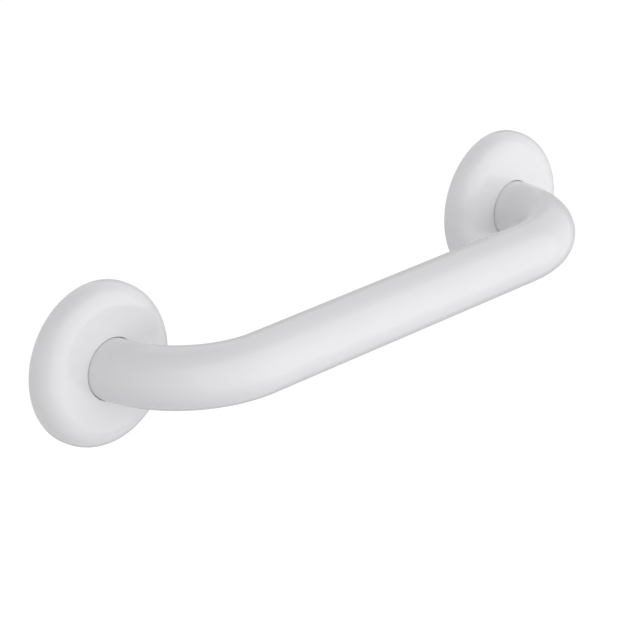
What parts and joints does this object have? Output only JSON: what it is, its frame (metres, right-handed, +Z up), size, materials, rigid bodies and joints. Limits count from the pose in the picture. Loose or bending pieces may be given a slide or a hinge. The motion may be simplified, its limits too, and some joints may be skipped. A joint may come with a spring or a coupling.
{
  "type": "grab bar",
  "caption": "Wall grab bar: a round tube bent square at its ends, welded to mount plates, with domed clip-on covers that hide the wall screws.",
  "frame": {"origin": "on the wall plane, midway between the axes of the two legs", "axes": "+X along the bar, +Y into the wall, +Z up; the bar stands out along -Y"},
  "size_m": [0.385, 0.0825, 0.085],
  "materials": {
    "bar_coat": "white powder coat, satin gloss, on steel tube",
    "plate_coat": "white powder coat on steel plate",
    "cover_plastic": "white moulded plastic, smooth satin gloss"
  },
  "bodies": {
    "root": {"bar_tube": "bar_coat", "left_mount_plate": "plate_coat", "right_mount_plate": "plate_coat", "left_cover": "cover_plastic", "right_cover": "cover_plastic"}
  },
  "joints": []
}
